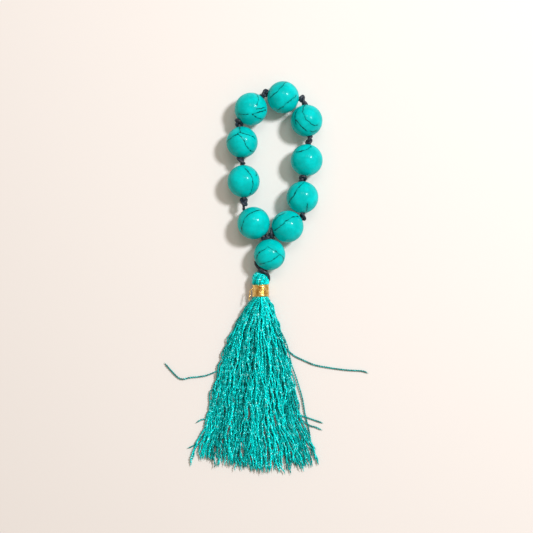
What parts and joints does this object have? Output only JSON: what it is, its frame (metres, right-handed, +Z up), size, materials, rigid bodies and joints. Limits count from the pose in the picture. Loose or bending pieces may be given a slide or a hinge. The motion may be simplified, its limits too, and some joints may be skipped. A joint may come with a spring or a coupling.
{
  "type": "misbaha prayer beads",
  "caption": "Short prayer-bead loop: round stone beads on a knotted cord, joined at a pendant bead, with a gold-bound silk tassel below.",
  "frame": {"origin": "centre of the object's plan box, on the table that it lies on", "axes": "+Z up from the table, +Y from the tassel towards the bead loop, +X to the right"},
  "size_m": [0.0788, 0.1495, 0.012],
  "materials": {
    "stone": "polished, dyed turquoise with dark veins",
    "cord": "braided, waxed",
    "silk": "lustrous twisted rayon",
    "gold": "metallic thread"
  },
  "bodies": {
    "pendant_knot": {"pendant_knot": "cord"},
    "junction": {"junction_knot": "cord"},
    "pendant": {"pendant_cord": "cord"},
    "pendant_bead": {"bead_pendant": "stone"},
    "tie": {"tassel_knot": "cord"},
    "tassel": {"tassel_head": "silk", "tassel_cord": "cord", "gold_band": "gold", "gold_tail": "gold", "tassel_skirt": "silk", "stray_thread_left": "silk", "stray_thread_right": "silk"},
    "strand_1": {"cord_1": "cord"},
    "bead_1": {"bead_1": "stone"},
    "strand_2": {"cord_2": "cord"},
    "bead_2": {"bead_2": "stone"},
    "strand_3": {"cord_3": "cord"},
    "bead_3": {"bead_3": "stone"},
    "strand_4": {"cord_4": "cord"},
    "bead_4": {"bead_4": "stone"},
    "strand_9": {"cord_9": "cord"},
    "bead_9": {"bead_9": "stone"},
    "strand_8": {"cord_8": "cord"},
    "bead_8": {"bead_8": "stone"},
    "strand_7": {"cord_7": "cord"},
    "bead_7": {"bead_7": "stone"},
    "strand_6": {"cord_6": "cord"},
    "bead_6": {"bead_6": "stone"},
    "strand_5": {"cord_5": "cord"},
    "bead_5": {"bead_5": "stone"}
  },
  "joints": [
    {"name": "loop_lift", "type": "hinge", "parent": "pendant_knot", "child": "junction", "pos_m": [0.0052, 0.016, 0.006], "axis": [1, 0, 0], "range_deg": [0, 20]},
    {"name": "loop_open", "type": "hinge", "parent": "junction", "child": "strand_1", "pos_m": [0.0052, 0.016, 0.006], "axis": [0, 0, 1], "range_deg": [0, 14.8]},
    {"name": "turn_bead_1", "type": "hinge", "parent": "strand_1", "child": "bead_1", "pos_m": [-0.0012, 0.0209, 0.006], "axis": [-0.6039, 0.797, 0], "continuous": true},
    {"name": "left_bend_2", "type": "hinge", "parent": "strand_1", "child": "strand_2", "pos_m": [-0.00465, 0.029, 0.006], "axis": [0, 0, 1], "range_deg": [-4.62, 0]},
    {"name": "turn_bead_2", "type": "hinge", "parent": "strand_2", "child": "bead_2", "pos_m": [-0.005, 0.0368, 0.006], "axis": [-0.0799, 0.9968, 0], "continuous": true},
    {"name": "left_bend_3", "type": "hinge", "parent": "strand_2", "child": "strand_3", "pos_m": [-0.0059, 0.0446, 0.006], "axis": [0, 0, 1], "range_deg": [-35.71, 0]},
    {"name": "turn_bead_3", "type": "hinge", "parent": "strand_3", "child": "bead_3", "pos_m": [-0.0056, 0.0516, 0.006], "axis": [-0.0767, 0.9971, 0], "continuous": true},
    {"name": "left_bend_4", "type": "hinge", "parent": "strand_3", "child": "strand_4", "pos_m": [-0.007, 0.0589, 0.006], "axis": [0, 0, 1], "range_deg": [0, 16.45]},
    {"name": "turn_bead_4", "type": "hinge", "parent": "strand_4", "child": "bead_4", "pos_m": [-0.0022, 0.0642, 0.006], "axis": [0.6797, 0.7335, 0], "continuous": true},
    {"name": "right_bend_9", "type": "hinge", "parent": "junction", "child": "strand_9", "pos_m": [0.0052, 0.016, 0.006], "axis": [0, 0, 1], "range_deg": [-3.62, 0]},
    {"name": "turn_bead_9", "type": "hinge", "parent": "strand_9", "child": "bead_9", "pos_m": [0.0117, 0.0196, 0.006], "axis": [0.8457, 0.5337, 0], "continuous": true},
    {"name": "right_bend_8", "type": "hinge", "parent": "strand_9", "child": "strand_8", "pos_m": [0.0174, 0.0237, 0.006], "axis": [0, 0, 1], "range_deg": [-22.91, 0]},
    {"name": "turn_bead_8", "type": "hinge", "parent": "strand_8", "child": "bead_8", "pos_m": [0.01735, 0.0307, 0.006], "axis": [-0.0145, 0.9999, 0], "continuous": true},
    {"name": "right_bend_7", "type": "hinge", "parent": "strand_8", "child": "strand_7", "pos_m": [0.0172, 0.0375, 0.006], "axis": [0, 0, 1], "range_deg": [0, 25.94]},
    {"name": "turn_bead_7", "type": "hinge", "parent": "strand_7", "child": "bead_7", "pos_m": [0.01895, 0.0448, 0.006], "axis": [0.1847, 0.9828, 0], "continuous": true},
    {"name": "right_bend_6", "type": "hinge", "parent": "strand_7", "child": "strand_6", "pos_m": [0.02, 0.0524, 0.006], "axis": [0, 0, 1], "range_deg": [0, 18.34]},
    {"name": "turn_bead_6", "type": "hinge", "parent": "strand_6", "child": "bead_6", "pos_m": [0.0189, 0.0598, 0.006], "axis": [-0.1697, 0.9855, 0], "continuous": true},
    {"name": "right_bend_5", "type": "hinge", "parent": "strand_6", "child": "strand_5", "pos_m": [0.0174, 0.0675, 0.006], "axis": [0, 0, 1], "range_deg": [-8.29, 0]},
    {"name": "turn_bead_5", "type": "hinge", "parent": "strand_5", "child": "bead_5", "pos_m": [0.01, 0.0687, 0.006], "axis": [-0.9873, 0.1588, 0], "continuous": true},
    {"name": "pendant_swing", "type": "hinge", "parent": "pendant_knot", "child": "pendant", "pos_m": [0.0052, 0.016, 0.006], "axis": [0, 0, 1], "range_deg": [-2, 2]},
    {"name": "turn_bead_pendant", "type": "hinge", "parent": "pendant", "child": "pendant_bead", "pos_m": [0.0049, 0.0089, 0.006], "axis": [0.2307, 0.973, 0], "continuous": true},
    {"name": "tassel_lift", "type": "hinge", "parent": "pendant", "child": "tie", "pos_m": [0.0016, 0.0026, 0.0046], "axis": [-1, 0, 0], "range_deg": [0, 45]},
    {"name": "tassel_swing", "type": "hinge", "parent": "tie", "child": "tassel", "pos_m": [0.00145, 0.002, 0.0034], "axis": [0, 0, 1], "range_deg": [-12, 12]}
  ],
  "couplings": [
    {"joint": "left_bend_2", "follows": "loop_open", "ratio": -0.3086},
    {"joint": "left_bend_3", "follows": "loop_open", "ratio": -2.4097},
    {"joint": "left_bend_4", "follows": "loop_open", "ratio": 1.1078},
    {"joint": "right_bend_9", "follows": "loop_open", "ratio": -0.2412},
    {"joint": "right_bend_8", "follows": "loop_open", "ratio": -1.5445},
    {"joint": "right_bend_7", "follows": "loop_open", "ratio": 1.7493},
    {"joint": "right_bend_6", "follows": "loop_open", "ratio": 1.2358},
    {"joint": "right_bend_5", "follows": "loop_open", "ratio": -0.5566}
  ]
}
